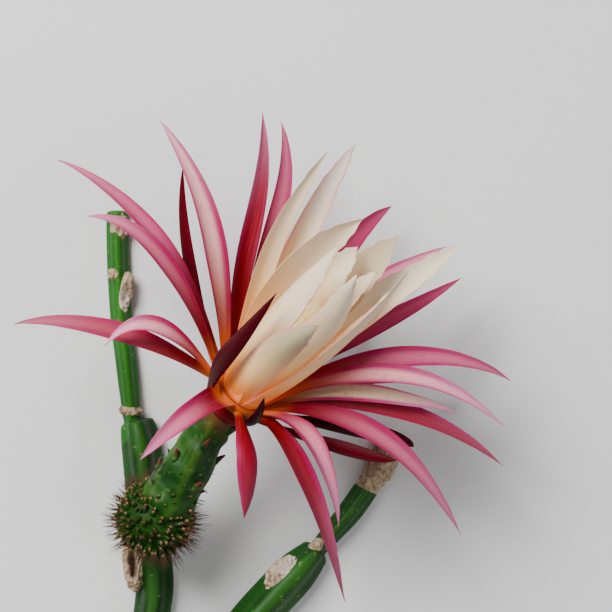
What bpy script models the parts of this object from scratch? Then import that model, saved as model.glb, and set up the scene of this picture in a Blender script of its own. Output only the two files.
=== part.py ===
# Orchid cactus: a cut, forked stem laid on its back, with one open flower.
# The flower grows from the thick stem on a scaly ovary and a curved floral tube.
# Lengths are millimetres and are scaled to metres when a mesh is made.
# +X is right, +Y runs from the cut end to the top of the plant, +Z is up from the surface.
# The origin is the flat spot under the main stem, just below the flower's seat.

import math
import random

import bmesh
import bpy
from mathutils import Matrix, Vector

MM = 0.001
GAP = 0.3                      # clearance between neighbouring pieces
MERGE = 0.002                  # points closer than this are one after a union

# Main sizes of the flower
RECEPTACLE = Vector((40, 89.5, 62))          # centre of the throat
AXIS = Vector((0.591, 0.633, 0.5)).normalized()   # the way the flower faces
OVARY_CENTRE = Vector((1.5, 34, 33.5))
OVARY_RADIUS = 15.0
OVARY_TOP = 10.2               # where the ovary's ball meets the tube, from its centre
NECK_RADIUS = 8.2              # the tube's straight neck, under the tepals
NECK_LENGTH = 11.0
THROAT_RADIUS = 5.2            # the hollow that holds stamens and style
THROAT_DEPTH = 13.0
RIM = -2.0                     # the tube's rim, along the axis from the receptacle

# Rings that carry the three whorls: profile points are (radius, height along the axis)
SEPAL_RING = [(8.5, -9.6), (10.6, -9.2), (10.6, -5.6), (8.5, -5.6)]
OUTER_RING = [(8.5, -5.2), (11.4, -4.8), (11.0, -1.0), (8.5, -1.0)]
INNER_RING = [(5.4, -1.7), (8.2, -1.7), (8.2, -0.7), (9.4, -0.7), (8.8, 2.4), (5.4, 2.4)]

# Each tepal: name, azimuth of its root round the axis in degrees, the point it passes at half
# length and its tip, both from the receptacle, its width, how far its face turns up, its cupping,
# the width of its root as a share of its widest, and how far it sways sideways in an S.
# Azimuth 0 is the side that faces up, 90 the right-hand side and 180 the side towards the surface.
SEPALS = [
    ("near_left", -46, (-8, 15, 30), (15, 41, 50), 9.0, 0.0, 0.2, 0.35, -1.5),
    ("near_spur", 51, (6, -12.6, 12.4), (9, -2, 33), 4.0, 0.0, 0.25, 0.35, 0.0),
    ("left", -118, (-23, 53, -12), (-26, 96, -24), 5.0, 0.5, 0.2, 0.6, 0.0),
    ("right", 88, (44, -25, 12), (64, -28, 18), 8.0, 0.4, 0.25, 0.4, 0.0),
    ("right_low", 112, (54, -18, -6), (72, -24, -8), 8.0, 0.6, 0.2, 0.4, 0.0),
    ("under_right", 142, (33, -4, -28), (52, 2, -52), 8.0, 0.0, 0.2, 0.4, 0.0),
    ("under", 178, (17, 17, -34), (32, 30, -60.5), 8.5, 0.0, 0.2, 0.4, 0.0),
    ("under_left", -146, (0, 32, -28), (6, 52, -54), 8.0, 0.0, 0.2, 0.4, 0.0),
]
OUTER_TEPALS = [
    ("left_long", -78, (-53, 25, 10), (-97, 28, -10), 10.0, 0.5, 0.18, 0.55, 0.0),
    ("left_curled", -66, (-35, 27, 19), (-57, 19, 18), 8.5, 0.5, 0.22, 0.45, 0.0),
    ("left_high", -93, (-36, 64, 4), (-78, 97, -6), 8.5, 0.6, 0.22, 0.6, 0.0),
    ("left_middle", -85, (-34, 56, 14), (-65, 73, 10), 8.5, 0.6, 0.22, 0.6, 0.0),
    ("top_broad", -104, (-13, 65, 12), (-35, 114, 4), 12.5, 0.9, 0.22, 0.55, 0.6),
    ("top_left", -131, (4, 67, -4), (8, 118, -17), 10.0, 0.6, 0.25, 0.6, 2.2),
    ("top_right", -143, (13, 70, -12), (16, 115, -30), 8.5, 0.6, 0.22, 0.6, 1.6),
    ("far_left", -166, (17, 48, -32), (26, 66, -59.5), 10.5, 0.2, 0.2, 0.55, 0.0),
    ("far", -178, (37, 51, -20), (64, 79, -42), 10.0, 0.5, 0.2, 0.55, -1.0),
    ("far_down", 172, (30, 33, -36), (54, 56, -59.5), 10.5, 0.0, 0.2, 0.55, 0.0),
    ("far_pale", 162, (45, 36, -12), (87, 61, -28), 9.0, 0.5, 0.2, 0.55, 0.8),
    ("far_right", 154, (52, 25, -16), (94, 48, -37), 8.5, 0.5, 0.2, 0.55, 0.8),
    ("low_right", 134, (56, 6, -22), (92, -2, -50), 10.5, 0.2, 0.2, 0.55, 0.0),
    ("right_high", 126, (66, 14, 8), (113, 4, -10), 9.5, 0.6, 0.2, 0.6, 0.0),
    ("right_pale", 112, (62, 7, 14), (110, -15, 0), 9.0, 0.6, 0.2, 0.6, 0.0),
    ("right_cream", 119, (52, -1, 5), (90, -9, -4), 8.5, 0.6, 0.15, 0.6, 0.8),
    ("right_red", 106, (60, -7, 3), (110, -32, -12), 9.5, 0.6, 0.22, 0.6, 0.0),
    ("right_down", 96, (55, -18, 9), (92, -61, -4), 10.5, 0.6, 0.22, 0.55, 0.0),
    ("down_pale", 74, (29, -20, 26), (40, -55, 22), 10.0, 0.3, 0.22, 0.5, 0.6),
    ("down_long", 84, (26, -35, 20), (43, -88, 4), 10.0, 0.5, 0.2, 0.55, 0.6),
    ("down_short", 33, (3, -25, 30), (1, -52, 22), 10.0, 0.3, -0.22, 0.4, 0.0),
    ("near_reflexed", -12, (-23, -11, 28), (-42, -28, 22), 12.0, 0.2, 0.22, 0.55, 0.0),
]
INNER_TEPALS = [
    ("left_slim", -137, (11, 54, 4), (36, 101, -4), 9.0, 0.4, 0.22, 0.7, -0.8),
    ("top_pale", -152, (24, 63, -6), (48, 105, -20), 11.0, 0.5, 0.22, 0.7, 0.0),
    ("left_broad", -140, (19, 42, 9), (49, 73, 10), 20.0, 0.3, 0.22, 0.75, 0.0),
    ("front_left", -54, (13, 30, 28), (40, 60, 40), 20.0, 0.1, 0.26, 0.75, 0.0),
    ("far_broad", 172, (37, 38, 4), (66, 64, 8), 16.0, 0.2, 0.22, 0.75, 0.0),
    ("front_slim", 54, (29, 22, 32), (47, 48, 50), 15.0, 0.0, 0.26, 0.75, 0.0),
    ("front_short", 4, (15, 14, 38), (32, 28, 60), 17.0, 0.0, 0.3, 0.8, 0.0),
    ("right_broad", 82, (38, 19, 22), (68, 49, 26), 20.0, 0.2, 0.24, 0.75, 0.0),
    ("far_long", 152, (46, 30, 0), (94, 62, -6), 14.0, 0.5, 0.2, 0.7, 0.0),
    ("heart_back", -176, (29, 39, 12), (48, 60, 16), 15.0, 0.0, 0.24, 0.75, 0.0),
    ("heart_far", 128, (35, 29, 13), (56, 49, 20), 15.0, 0.1, 0.26, 0.75, 0.0),
]

STAMEN_COUNT = 32
STAMEN_SEED = 5
STIGMA_LOBES = 9

WART_COUNT = 84                # warts on the ovary, in a spiral of golden angles
WART_LENGTH = 4.2
BRISTLE_LENGTH = 5.5
SCALE_COUNT = 10               # scales up the floral tube
GOLDEN_ANGLE = 137.508         # degrees

BLADE_STEPS = 7                # lengths that a tepal is divided into
TEPAL_THICKNESS = 0.9
TEPAL_WIDEST = 0.46            # where along a tepal it is widest
TIP_SHARE = 0.05               # width left at the very tip, as a share of the widest

# Stem joints lie on the surface with one rib up; points are (x, y, height of the centre), then radius
MAIN_STEM = [
    ((-1, -92, 5.9), 7.6), ((-1, -72, 6.4), 8.3), ((-2, -45, 6.6), 7.6), ((-2, -18, 6.2), 7.4),
    ((0, 2, 5.9), 7.6), ((-2, 24, 6.2), 7.9), ((-4, 48, 6.6), 8.2), ((-6, 66, 6.6), 8.0),
    ((-8, 75, 6.4), 6.4),
]
LEFT_SHOOT = [
    ((-8.6, 70, 5.6), 3.0), ((-9.9, 77, 5.6), 3.7), ((-12, 97, 5.0), 4.3),
    ((-14.6, 119, 4.2), 4.4), ((-15.9, 141, 3.8), 4.5),
    ((-16.3, 158, 3.6), 4.6), ((-16.2, 167, 3.6), 4.4),
]
SIDE_STEM = [
    ((1, -67, 6.0), 3.4), ((7.5, -61, 6.2), 4.4), ((17, -48, 6.6), 7.6),
    ((31, -27, 6.8), 8.4), ((47, -8, 6.8), 8.8),
    ((62, 8, 6.8), 8.4), ((72, 18.5, 6.4), 5.6),
]
RIGHT_SHOOT = [
    ((70, 16.5, 5.8), 3.2), ((75.5, 22.8, 5.8), 4.0), ((86, 35, 5.2), 4.9),
    ((95.4, 48.5, 4.6), 5.1), ((99, 54, 4.6), 5.9),
    ((105, 67, 4.5), 5.7),
]
RIB_COUNT = 3
RIB_DEPTH = 0.20               # how far ribs stand out, as a share of the radius
AREOLE_PITCH = 24.0            # spacing of the areoles along a rib
SEAT_TOP = 17.6                # height of the pad that the flower grows from
SEAT_RADIUS = 6.5


def clear_scene():
    for thing in list(bpy.data.objects):
        bpy.data.objects.remove(thing, do_unlink=True)


def principled(name, colour, roughness, coat=0.0):
    material = bpy.data.materials.new(name)
    material.use_nodes = True
    shader = material.node_tree.nodes["Principled BSDF"]
    shader.inputs["Base Color"].default_value = (*colour, 1)
    shader.inputs["Roughness"].default_value = roughness
    shader.inputs["Coat Weight"].default_value = coat
    return material


def mesh_object(name, vertices, faces):
    mesh = bpy.data.meshes.new(name)
    mesh.from_pydata([Vector(v) * MM for v in vertices], [], faces)
    thing = bpy.data.objects.new(name, mesh)
    bpy.context.scene.collection.objects.link(thing)
    return thing


def paint(thing, material):
    # Sets a piece's only material and shades it smooth.
    thing.data.materials.clear()
    thing.data.materials.append(material)
    for face in thing.data.polygons:
        face.use_smooth = True


def outward(thing):
    # Turns every face to point out of the closed mesh.
    shape = bmesh.new()
    shape.from_mesh(thing.data)
    bmesh.ops.recalc_face_normals(shape, faces=shape.faces)
    shape.to_mesh(thing.data)
    shape.free()
    return thing


def smooth_step(low, high, value):
    share = min(1.0, max(0.0, (value - low) / (high - low)))
    return share * share * (3 - 2 * share)


def flower_side(azimuth):
    # Unit vector square to the flower's axis, at an azimuth in degrees.
    up = (Vector((0, 0, 1)) - AXIS * AXIS.z).normalized()
    right = AXIS.cross(up)
    angle = math.radians(azimuth)
    return up * math.cos(angle) + right * math.sin(angle)


def on_flower(azimuth, radius, height):
    # Point given round the flower's axis, as an offset from the receptacle.
    return flower_side(azimuth) * radius + AXIS * height


def rings_mesh(name, rings, closed=False):
    # Joins rings of equal length into a capped tube; closed joins the last ring to the first instead.
    sides = len(rings[0])
    vertices = [point for ring in rings for point in ring]
    faces = []
    pairs = len(rings) if closed else len(rings) - 1
    for row in range(pairs):
        here = row * sides
        there = ((row + 1) % len(rings)) * sides
        for side in range(sides):
            after = (side + 1) % sides
            faces.append((here + side, here + after, there + after, there + side))
    if not closed:
        faces.append(tuple(reversed(range(sides))))
        last = (len(rings) - 1) * sides
        faces.append(tuple(range(last, last + sides)))
    return outward(mesh_object(name, vertices, faces))


def turned_ring(name, profile, sides):
    # Ring round the flower's axis, from a closed profile.
    rings = []
    for step in range(sides):
        azimuth = 360 * step / sides
        rings.append([on_flower(azimuth, radius, height) for radius, height in profile])
    return rings_mesh(name, rings, closed=True)


def width_share(along, claw, taper):
    # Outline of a tepal: a claw at the base, widest near the middle, and a point.
    swell = claw + (1 - claw) * smooth_step(0.0, TEPAL_WIDEST, along)
    past = max(0.0, (along - TEPAL_WIDEST) / (1 - TEPAL_WIDEST))
    return swell * (1 - past ** taper) + TIP_SHARE


def blade(tepal, root, halves, taper):
    # Thin arched blade whose inner face looks along the flower's axis.
    name, azimuth, middle, tip, width, face_up, cupping, claw, sway = tepal
    middle, tip = Vector(middle), Vector(tip)
    handle = middle * 2 - (root + tip) / 2
    sideways = AXIS.cross(flower_side(azimuth))
    rows_inner, rows_outer = [], []
    for step in range(BLADE_STEPS + 1):
        along = step / BLADE_STEPS
        place = root * (1 - along) ** 2 + handle * 2 * along * (1 - along) + tip * along ** 2
        tangent = ((handle - root) * (1 - along) + (tip - handle) * along).normalized()
        normal = tangent.cross(sideways).normalized()
        normal = normal + Vector((0, 0, face_up)) * smooth_step(0.0, 0.5, along)
        across = normal.cross(tangent).normalized()
        normal = tangent.cross(across).normalized()
        half_width = width / 2 * width_share(along, claw, taper)
        place = place + across * (sway * math.sin(2 * math.pi * along))
        inner, outer = [], []
        for line in range(2 * halves + 1):
            reach = line / halves - 1
            point = place + across * (reach * half_width) + normal * (cupping * half_width * reach ** 2)
            inner.append(point)
            outer.append(point - normal * TEPAL_THICKNESS)
        rows_inner.append(inner)
        rows_outer.append(outer)
    rings = [inner + list(reversed(outer)) for inner, outer in zip(rows_inner, rows_outer)]
    return rings_mesh(name, rings)


def fuse(core, pieces):
    # One union of a core with all its pieces, which are then removed.
    group = bpy.data.collections.new(core.name + "_pieces")
    for piece in pieces:
        group.objects.link(piece)
    union = core.modifiers.new("union", "BOOLEAN")
    union.operation = "UNION"
    union.operand_type = "COLLECTION"
    union.collection = group
    union.solver = "MANIFOLD"
    graph = bpy.context.evaluated_depsgraph_get()
    fused = bpy.data.meshes.new_from_object(core.evaluated_get(graph))
    core.modifiers.clear()
    core.data = fused
    for piece in pieces:
        bpy.data.objects.remove(piece, do_unlink=True)
    bpy.data.collections.remove(group)
    drop_scraps(core)
    return core


def drop_scraps(thing):
    # Keeps the largest body: loose scraps and sealed hollows go, and what touches only at an edge.
    shape = bmesh.new()
    shape.from_mesh(thing.data)
    bmesh.ops.remove_doubles(shape, verts=shape.verts, dist=MERGE * MM)
    bmesh.ops.dissolve_degenerate(shape, edges=shape.edges, dist=MERGE / 2 * MM)
    bmesh.ops.triangulate(shape, faces=shape.faces)
    seen, bodies = set(), []
    for start in shape.faces:
        if start in seen:
            continue
        seen.add(start)
        body, front = [start], [start]
        while front:
            for edge in front.pop().edges:
                if len(edge.link_faces) != 2:
                    continue
                for face in edge.link_faces:
                    if face not in seen:
                        seen.add(face)
                        body.append(face)
                        front.append(face)
        bodies.append(body)
    keep = set(max(bodies, key=len))
    bmesh.ops.delete(shape, geom=[f for f in shape.faces if f not in keep], context="FACES")
    shape.to_mesh(thing.data)
    shape.free()


def seat_on(thing, holder, material):
    # The flower's pieces are modelled from the receptacle, so they hang from its empty.
    thing.parent = holder
    paint(thing, material)


def whorl(name, ring, tepals, root_radius, root_height, halves, taper):
    core = turned_ring(name, ring, 24)
    blades = [
        blade(tepal, on_flower(tepal[1], root_radius, root_height), halves, taper) for tepal in tepals]
    return fuse(core, blades)


def spline_point(points, where):
    # Catmull-Rom point at where, counted in spans.
    last = len(points) - 1
    span = min(int(where), last - 1)
    share = where - span
    before = points[max(span - 1, 0)]
    start, end = points[span], points[span + 1]
    after = points[min(span + 2, last)]
    return 0.5 * (2 * start + (end - before) * share
                  + (2 * before - 5 * start + 4 * end - after) * share ** 2
                  + (3 * start - before - 3 * end + after) * share ** 3)


def ribbed_joint(name, joint, steps_per_span, sides, round_end=True):
    # One stem joint: three ribs, one of them up, with its underside flattened where it lies.
    centres = [Vector(place) for place, radius in joint]
    radii = [Vector((radius, 0, 0)) for place, radius in joint]
    total = (len(joint) - 1) * steps_per_span
    rings, travelled, previous = [], 0.0, None
    stations = [(step / steps_per_span, 1.0) for step in range(total + 1)]
    if round_end:
        end = len(joint) - 1.0
        stations = stations[:-1] + [(end - 0.25, 0.93), (end - 0.06, 0.68), (end, 0.3)]
    for where, shrink in stations:
        centre = spline_point(centres, where)
        radius = spline_point(radii, where).x * shrink
        ahead = spline_point(centres, min(where + 0.05, len(joint) - 1.0))
        behind = spline_point(centres, max(where - 0.05, 0.0))
        forward = (ahead - behind).normalized()
        side = forward.cross(Vector((0, 0, 1))).normalized()
        up = side.cross(forward)
        if previous:
            travelled += (centre - previous).length
        previous = centre
        swell = 1 + 0.05 * math.cos(2 * math.pi * travelled / AREOLE_PITCH)
        ring = []
        for corner in range(sides):
            angle = 2 * math.pi * corner / sides
            rib = 1 + RIB_DEPTH * math.cos(RIB_COUNT * angle) * swell
            point = centre + (up * math.cos(angle) + side * math.sin(angle)) * (radius * rib)
            ring.append(Vector((point.x, point.y, max(point.z, 0.0))))
        rings.append(ring)
    return rings_mesh(name, rings)


def pad(name, centre, size, heading):
    # Low oval pad, such as a corky scar, with its length turned to heading degrees from +X.
    shape = bmesh.new()
    bmesh.ops.create_uvsphere(shape, u_segments=10, v_segments=6, radius=1)
    turn = Matrix.Rotation(math.radians(heading), 4, "Z")
    bmesh.ops.transform(shape, matrix=turn @ Matrix.Diagonal((*[s / 2 for s in size], 1)), verts=shape.verts)
    bmesh.ops.translate(shape, vec=Vector(centre), verts=shape.verts)
    bmesh.ops.scale(shape, vec=(MM, MM, MM), verts=shape.verts)
    mesh = bpy.data.meshes.new(name)
    shape.to_mesh(mesh)
    shape.free()
    thing = bpy.data.objects.new(name, mesh)
    bpy.context.scene.collection.objects.link(thing)
    return outward(thing)


def upright_round(name, centre, radius, low, high, sides=14):
    rings = []
    for height in (low, high):
        rings.append([
            (centre.x + radius * math.cos(2 * math.pi * k / sides),
             centre.y + radius * math.sin(2 * math.pi * k / sides), height) for k in range(sides)])
    return rings_mesh(name, rings)


def build_stem(green):
    # All joints grew as one body: the branches start inside the joint that they grow from.
    main = ribbed_joint("stem", MAIN_STEM, 2, 15)
    fuse(main, [
        ribbed_joint("left_shoot", LEFT_SHOOT, 2, 12),
        ribbed_joint("side_stem", SIDE_STEM, 3, 15),
        ribbed_joint("right_shoot", RIGHT_SHOOT, 3, 12, round_end=False),
        upright_round("seat", OVARY_CENTRE, SEAT_RADIUS, 6.0, SEAT_TOP),
        pad("scar", (-9.0, 14.5, 9.0), (9, 23, 11), 4),
        pad("joint_scar", (-3.5, 72, 10.5), (9, 6, 6), -10),
        pad("left_scar", (-12.6, 131, 6.5), (6, 19, 6), -12),
        pad("left_tip_scar", (-15.0, 160, 6.5), (8, 11, 5), 0),
        pad("left_collar", (-10.3, 79.0, 6.2), (11, 4, 9), -4),
        pad("side_scar", (55, 9.5, 13.0), (18, 8, 7), 47),
        pad("side_joint_scar", (71, 20.5, 10.0), (7, 5, 5), 47)])
    paint(main, green)


def ovary_axis():
    return (RECEPTACLE - OVARY_CENTRE).normalized()


def square_frame(axis):
    side = axis.cross(Vector((0, 0, 1))).normalized()
    return side, axis.cross(side)


def cone(name, foot, direction, length, foot_radius, tip_radius, sides):
    side, other = square_frame(direction)
    rings = []
    for centre, radius in ((foot, foot_radius), (foot + direction * length, tip_radius)):
        rings.append([
            centre + side * (radius * math.cos(2 * math.pi * k / sides))
            + other * (radius * math.sin(2 * math.pi * k / sides)) for k in range(sides)])
    return rings_mesh(name, rings)


def build_ovary(green):
    # Ball with a flat top for the tube, ringed by warts in a spiral; every other wart has a bristle.
    axis = ovary_axis()
    side, other = square_frame(axis)
    sides, rings = 18, []
    top_angle = math.asin(OVARY_TOP / OVARY_RADIUS)
    for row in range(9):
        angle = -math.pi / 2 * 0.93 + (top_angle + math.pi / 2 * 0.93) * row / 8
        centre = axis * (OVARY_RADIUS * math.sin(angle))
        radius = OVARY_RADIUS * math.cos(angle)
        rings.append([
            OVARY_CENTRE + centre + side * (radius * math.cos(2 * math.pi * k / sides))
            + other * (radius * math.sin(2 * math.pi * k / sides)) for k in range(sides)])
    ball = rings_mesh("ovary", rings)
    golden = math.radians(GOLDEN_ANGLE)
    pieces = [upright_round("stalk", OVARY_CENTRE, 5.6, SEAT_TOP + GAP, OVARY_CENTRE.z - 6)]
    for wart in range(WART_COUNT):
        rise = -0.96 + 1.52 * (wart + 0.5) / WART_COUNT
        out = math.sqrt(1 - rise * rise)
        direction = (axis * rise + side * (out * math.cos(golden * wart))
                     + other * (out * math.sin(golden * wart))).normalized()
        foot = OVARY_CENTRE + direction * (OVARY_RADIUS - 1.6)
        lean = (direction + axis * 0.35).normalized()
        tip = foot + lean * WART_LENGTH
        if tip.z < SEAT_TOP + 2.5:
            continue
        pieces.append(cone("wart", foot, lean, WART_LENGTH, 2.1, 0.9, 4))
        if wart % 2 == 0 and foot.z > SEAT_TOP:
            point = (direction * 2 + lean).normalized()
            pieces.append(cone("bristle", foot + lean * 3.0, point, BRISTLE_LENGTH, 0.5, 0.2, 3))
    fuse(ball, pieces)
    paint(ball, green)


def tube_stations():
    # Centre line of the floral tube from the ovary to the rim, with its radius.
    axis = ovary_axis()
    start = OVARY_CENTRE + axis * (OVARY_TOP + GAP)
    neck = RECEPTACLE + AXIS * (RIM - NECK_LENGTH)
    pull = (neck - start).length / 3
    first, second = start + axis * pull, neck - AXIS * pull
    radii = [10.4, 11.0, 10.6, 9.7, 8.8, 8.3, NECK_RADIUS]
    stations = []
    for step, radius in enumerate(radii):
        t = step / (len(radii) - 1)
        point = (start * (1 - t) ** 3 + first * 3 * t * (1 - t) ** 2
                 + second * 3 * t * t * (1 - t) + neck * t ** 3)
        tangent = ((first - start) * (1 - t) ** 2 + (second - first) * 2 * t * (1 - t)
                   + (neck - second) * t * t)
        stations.append((point, tangent.normalized(), radius))
    stations.append((RECEPTACLE + AXIS * RIM, AXIS.copy(), NECK_RADIUS))
    return stations


def build_tube(green):
    # Turned along its bent centre line, with a blind throat at the rim and scales up its sides.
    sides, stations = 16, tube_stations()
    rim = RECEPTACLE + AXIS * RIM
    inside = [(rim, AXIS, THROAT_RADIUS), (rim - AXIS * THROAT_DEPTH, AXIS, THROAT_RADIUS)]
    rings = []
    for centre, tangent, radius in stations + inside:
        side, other = square_frame(tangent)
        rings.append([
            centre + side * (radius * math.cos(2 * math.pi * k / sides))
            + other * (radius * math.sin(2 * math.pi * k / sides)) for k in range(sides)])
    tube = rings_mesh("floral_tube", rings)
    scales = []
    for number in range(SCALE_COUNT):
        centre, tangent, radius = stations[1 + number // 2]
        side, other = square_frame(tangent)
        angle = math.radians(GOLDEN_ANGLE * number + 40)
        out = side * math.cos(angle) + other * math.sin(angle)
        root = centre + out * (radius - 0.8)
        length = 6.0 + 0.45 * number
        scales.append(cone("scale", root, (tangent + out * 0.45).normalized(), length, 1.5, 0.35, 4))
    fuse(tube, scales)
    paint(tube, green)


def build_stamens(pale, holder):
    # Filaments stand on a short sleeve in the throat, spread a little and carry anthers.
    core = turned_ring("stamens", [(3.2, -13.0), (4.8, -13.0), (4.7, 1.0), (3.4, 1.0)], 20)
    dice = random.Random(STAMEN_SEED)
    pieces = []
    for number in range(STAMEN_COUNT):
        azimuth = 360 * number / STAMEN_COUNT + dice.uniform(-1.5, 1.5)
        reach = dice.uniform(4.2, 5.8)
        top = 36.0 + 3.5 * (number * 7 % 5) + dice.uniform(-0.6, 0.6)
        stations = [(4.05, -1.0, 0.42), (4.2, 4.0, 0.42), (reach * 0.6 + 1.9, 20.0, 0.4), (reach, top, 0.38)]
        rings = []
        for radius, height, thick in stations:
            centre = on_flower(azimuth, radius, height)
            rings.append([centre + flower_side(azimuth + turn) * thick for turn in (0, 120, 240)])
        pieces.append(rings_mesh("filament", rings))
        pieces.append(cone("anther", centre - AXIS * 0.8, AXIS, 2.8, 0.8, 0.5, 4))
    seat_on(fuse(core, pieces), holder, pale)


def build_pistil(pale, holder):
    # Style up the middle, with lobes of the stigma spreading at its top.
    rings = []
    for radius, height in ((1.4, -14.4), (1.3, 10.0), (1.2, 38.0), (1.5, 53.0)):
        rings.append([on_flower(360 * k / 8, radius, height) for k in range(8)])
    style = rings_mesh("pistil", rings)
    lobes = []
    for lobe in range(STIGMA_LOBES):
        azimuth = 360 * lobe / STIGMA_LOBES
        lobe_rings = []
        for radius, height, thick in ((0.6, 51.5, 0.6), (2.2, 55.5, 0.6), (4.0, 58.0, 0.3)):
            centre = on_flower(azimuth, radius, height)
            lobe_rings.append([centre + flower_side(azimuth + turn) * thick for turn in (0, 120, 240)])
        lobes.append(rings_mesh("lobe", lobe_rings))
    seat_on(fuse(style, lobes), holder, pale)


def main():
    clear_scene()
    holder = bpy.data.objects.new("receptacle", None)
    bpy.context.scene.collection.objects.link(holder)
    holder.location = RECEPTACLE * MM
    build_stem(principled("stem_green", (0.05, 0.22, 0.03), 0.45, 0.2))
    build_ovary(principled("ovary_green", (0.04, 0.14, 0.02), 0.6))
    build_tube(principled("tube_green", (0.06, 0.24, 0.03), 0.45, 0.2))
    sepals = whorl("sepals", SEPAL_RING, SEPALS, 9.6, -7.4, 1, 1.7)
    seat_on(sepals, holder, principled("maroon_sepal", (0.16, 0.004, 0.015), 0.4, 0.2))
    outer = whorl("outer_tepals", OUTER_RING, OUTER_TEPALS, 10.0, -3.0, 1, 1.7)
    seat_on(outer, holder, principled("rose_tepal", (0.74, 0.09, 0.2), 0.45))
    inner = whorl("inner_tepals", INNER_RING, INNER_TEPALS, 7.2, 0.9, 2, 2.1)
    seat_on(inner, holder, principled("cream_tepal", (0.85, 0.72, 0.5), 0.5))
    build_stamens(principled("stamen_yellow", (0.9, 0.8, 0.45), 0.55), holder)
    build_pistil(principled("pistil_cream", (0.9, 0.84, 0.62), 0.55), holder)


main()
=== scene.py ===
# Orchid cactus, a cut stem with one open flower, dressed for its portrait.
# Sizes are in millimetres unless a line says otherwise; meshes are written in metres.
import math
import random
from functools import partialmethod

import bmesh
import bpy
import numpy as np
from mathutils import Matrix, Vector, noise


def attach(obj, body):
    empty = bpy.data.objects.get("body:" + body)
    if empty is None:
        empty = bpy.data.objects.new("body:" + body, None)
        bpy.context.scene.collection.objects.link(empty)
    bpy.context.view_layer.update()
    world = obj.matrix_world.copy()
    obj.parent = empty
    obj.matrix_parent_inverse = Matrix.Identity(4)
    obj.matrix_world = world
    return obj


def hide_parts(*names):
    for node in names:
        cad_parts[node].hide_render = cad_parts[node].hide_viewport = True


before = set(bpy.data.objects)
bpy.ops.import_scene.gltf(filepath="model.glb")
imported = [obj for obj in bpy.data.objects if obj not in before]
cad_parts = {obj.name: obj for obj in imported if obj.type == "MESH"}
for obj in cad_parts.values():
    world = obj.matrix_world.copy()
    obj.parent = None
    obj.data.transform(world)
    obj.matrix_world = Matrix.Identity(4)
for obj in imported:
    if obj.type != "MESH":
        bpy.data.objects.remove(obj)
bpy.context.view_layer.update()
print("frame loaded")

mm = 0.001

# node helpers


class Wire:
    # a node socket that can be used in sums
    def __init__(self, tree, socket):
        self.tree = tree
        self.socket = socket

    def sum(self, operation, other, swap=False):
        first, second = (other, self) if swap else (self, other)
        if not (isVector(first) or isVector(second)):
            return makeNode(self.tree, "ShaderNodeMath", {"operation": operation}, {0: first, 1: second})
        if operation == "MULTIPLY" and not (isVector(first) and isVector(second)):
            vector, number = (second, first) if isVector(second) else (first, second)
            terms = {0: vector, 3: number}
            return makeNode(self.tree, "ShaderNodeVectorMath", {"operation": "SCALE"}, terms)
        return makeNode(self.tree, "ShaderNodeVectorMath", {"operation": operation}, {0: first, 1: second})

    __add__ = partialmethod(sum, "ADD")
    __radd__ = partialmethod(sum, "ADD", swap=True)
    __sub__ = partialmethod(sum, "SUBTRACT")
    __rsub__ = partialmethod(sum, "SUBTRACT", swap=True)
    __mul__ = partialmethod(sum, "MULTIPLY")
    __rmul__ = partialmethod(sum, "MULTIPLY", swap=True)
    __truediv__ = partialmethod(sum, "DIVIDE")
    __pow__ = partialmethod(sum, "POWER")


def isVector(term):
    if isinstance(term, Wire):
        return term.socket.type in ("VECTOR", "RGBA")
    return isinstance(term, (Vector, tuple, list))


def makeNode(tree, kind, settings=None, inputs=None, output=0):
    # a node with its settings, then the values or links of its sockets; gives back one output
    node = tree.nodes.new(kind)
    for key, value in (settings or {}).items():
        setattr(node, key, value)
    for key, value in (inputs or {}).items():
        socket = node.inputs[key]
        if isinstance(value, Wire):
            tree.links.new(value.socket, socket)
        elif socket.type == "RGBA" and len(value) == 3:
            socket.default_value = (*value, 1)
        else:
            socket.default_value = value
    return Wire(tree, node.outputs[output])


def maths(wire, operation, other=None):
    terms = {0: wire} if other is None else {0: wire, 1: other}
    return makeNode(wire.tree, "ShaderNodeMath", {"operation": operation}, terms)


def vectors(wire, operation, other=None):
    terms = {0: wire} if other is None else {0: wire, 1: other}
    return makeNode(wire.tree, "ShaderNodeVectorMath", {"operation": operation}, terms)


def ramp(wire, low, high):
    # 0 below low and 1 above high, eased between; low may be the larger
    return makeNode(wire.tree, "ShaderNodeMapRange", {"interpolation_type": "SMOOTHSTEP", "clamp": True},
                    {0: wire, 1: low, 2: high, 3: 0.0, 4: 1.0})


def blend(share, first, second):
    return makeNode(share.tree, "ShaderNodeMix", {"data_type": "RGBA", "clamp_factor": True},
                    {0: share, 6: first, 7: second}, 2)


def layers(body, *coats):
    # lays one colour after another over the body, each with its own share
    for share, colour in coats:
        body = blend(share, body, colour)
    return body


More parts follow.
